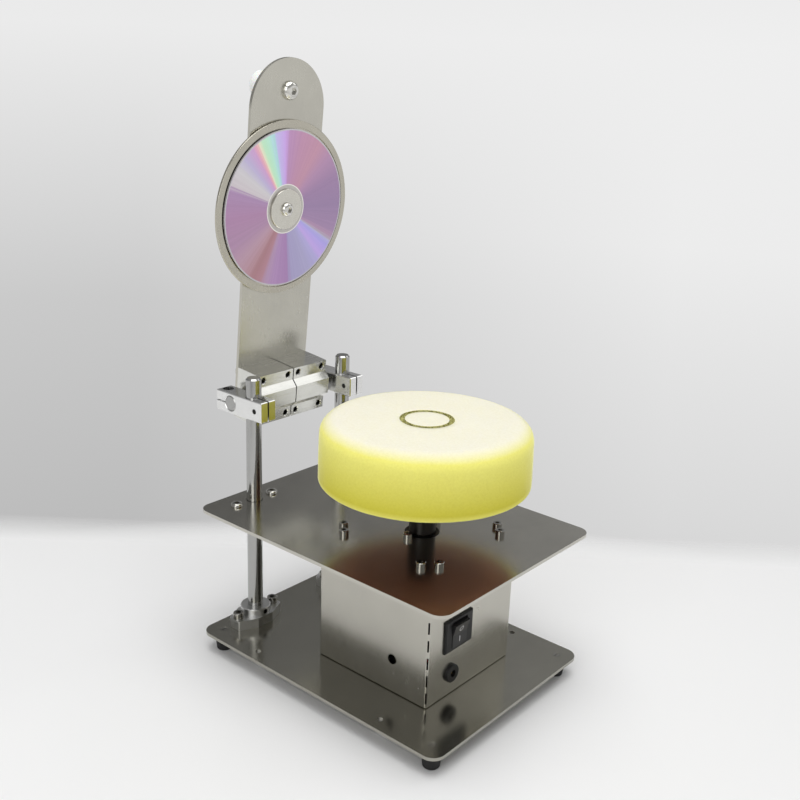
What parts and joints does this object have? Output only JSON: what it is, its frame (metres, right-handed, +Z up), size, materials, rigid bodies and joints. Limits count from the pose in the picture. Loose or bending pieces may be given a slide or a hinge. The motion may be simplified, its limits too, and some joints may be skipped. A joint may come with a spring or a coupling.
{
  "type": "disc repair machine",
  "caption": "Bench-top disc polisher: a swinging arm lowers an optical disc on a tray onto a motor-driven foam pad over a steel table on a sheet box.",
  "frame": {"origin": "on the surface that the feet stand on, under the middle of the base plate", "axes": "+Z up; +Y to the back, where the guide posts stand; +X to the right of someone facing the switch"},
  "size_m": [0.18, 0.2682, 0.4532],
  "materials": {
    "steel_plate": "satin",
    "box_sheet": "satin",
    "polished_steel": "polished",
    "screw_steel": "satin",
    "black_steel": "satin",
    "satin_aluminium": "satin",
    "tray_aluminium": "satin",
    "black_rubber": "matte",
    "black_plastic": "matte",
    "black_anodised": "satin",
    "white_plastic": "satin",
    "grey_plastic": "matte",
    "foam": "matte",
    "disc": "gloss",
    "motor_steel": "satin",
    "magnet": "matte",
    "rotor_iron": "satin",
    "brass": "satin",
    "red_wire": "satin",
    "black_wire": "satin"
  },
  "bodies": {
    "machine_frame": {"base_plate": "steel_plate", "rubber_feet": "black_rubber", "foot_fasteners": "screw_steel", "motor_box": "box_sheet", "box_base_fasteners": "screw_steel", "table_plate": "steel_plate", "box_top_fasteners": "screw_steel", "motor_screws": "screw_steel", "motor_can": "motor_steel", "motor_magnets": "magnet", "motor_end_cap": "black_plastic", "motor_bearings": "brass", "terminals": "brass", "base_shaft_support_left": "satin_aluminium", "base_shaft_support_right": "satin_aluminium", "base_support_fasteners": "screw_steel", "table_shaft_support_left": "satin_aluminium", "table_shaft_support_right": "satin_aluminium", "table_support_fasteners": "screw_steel", "support_set_screws": "black_steel", "guide_post_left": "polished_steel", "guide_post_right": "polished_steel", "switch_housing": "black_plastic", "dc_jack_body": "black_plastic", "dc_jack_nut": "screw_steel", "dc_jack_contacts": "brass", "wire_jack_to_switch": "red_wire", "wire_switch_to_motor": "red_wire", "wire_jack_to_motor": "black_wire"},
    "clamp_carriage": {"cross_clamp_left": "satin_aluminium", "cross_clamp_right": "satin_aluminium", "clamp_screws": "black_steel", "hinge_shaft": "polished_steel"},
    "bushing_pair": {"linear_bushing_left": "polished_steel", "linear_bushing_right": "polished_steel"},
    "swing_arm": {"bearing_block_left": "satin_aluminium", "bearing_block_right": "satin_aluminium", "bushing_rings": "screw_steel", "arm_plate": "steel_plate", "arm_screws": "screw_steel", "handle": "white_plastic", "handle_screw": "screw_steel", "pivot_housing": "satin_aluminium", "pivot_bearings": "polished_steel"},
    "disc_holder": {"pivot_spindle": "screw_steel", "pivot_nut": "screw_steel", "disc_tray": "tray_aluminium", "disc_mat": "black_rubber", "disc": "disc", "clamp_washer": "screw_steel", "disc_screw": "screw_steel"},
    "pad_drive": {"rotor_shaft": "polished_steel", "rotor_core": "rotor_iron", "pad_hub": "black_anodised", "hub_screws": "screw_steel", "backing_plate": "grey_plastic", "polishing_pad": "foam"},
    "rocker": {"switch_rocker": "black_plastic"}
  },
  "joints": [
    {"name": "clamp_height", "type": "slide", "parent": "machine_frame", "child": "clamp_carriage", "axis": [0, 0, 1], "range_m": [-0.045, 0.014]},
    {"name": "arm_shift", "type": "slide", "parent": "clamp_carriage", "child": "bushing_pair", "axis": [1, 0, 0], "range_m": [-0.004, 0.004]},
    {"name": "arm_hinge", "type": "hinge", "parent": "bushing_pair", "child": "swing_arm", "pos_m": [0, 0.1202, 0.1983], "axis": [1, 0, 0], "range_deg": [-95, 82.5]},
    {"name": "disc_spin", "type": "hinge", "parent": "swing_arm", "child": "disc_holder", "pos_m": [0, 0.107, 0.34169], "axis": [0, -0.9958, -0.0917], "continuous": true},
    {"name": "pad_spin", "type": "hinge", "parent": "machine_frame", "child": "pad_drive", "pos_m": [0, -0.029, 0.15], "axis": [0, 0, 1], "continuous": true},
    {"name": "switch_rock", "type": "hinge", "parent": "machine_frame", "child": "rocker", "pos_m": [-0.0169, -0.076, 0.066], "axis": [1, 0, 0], "range_deg": [-16, 0]}
  ]
}
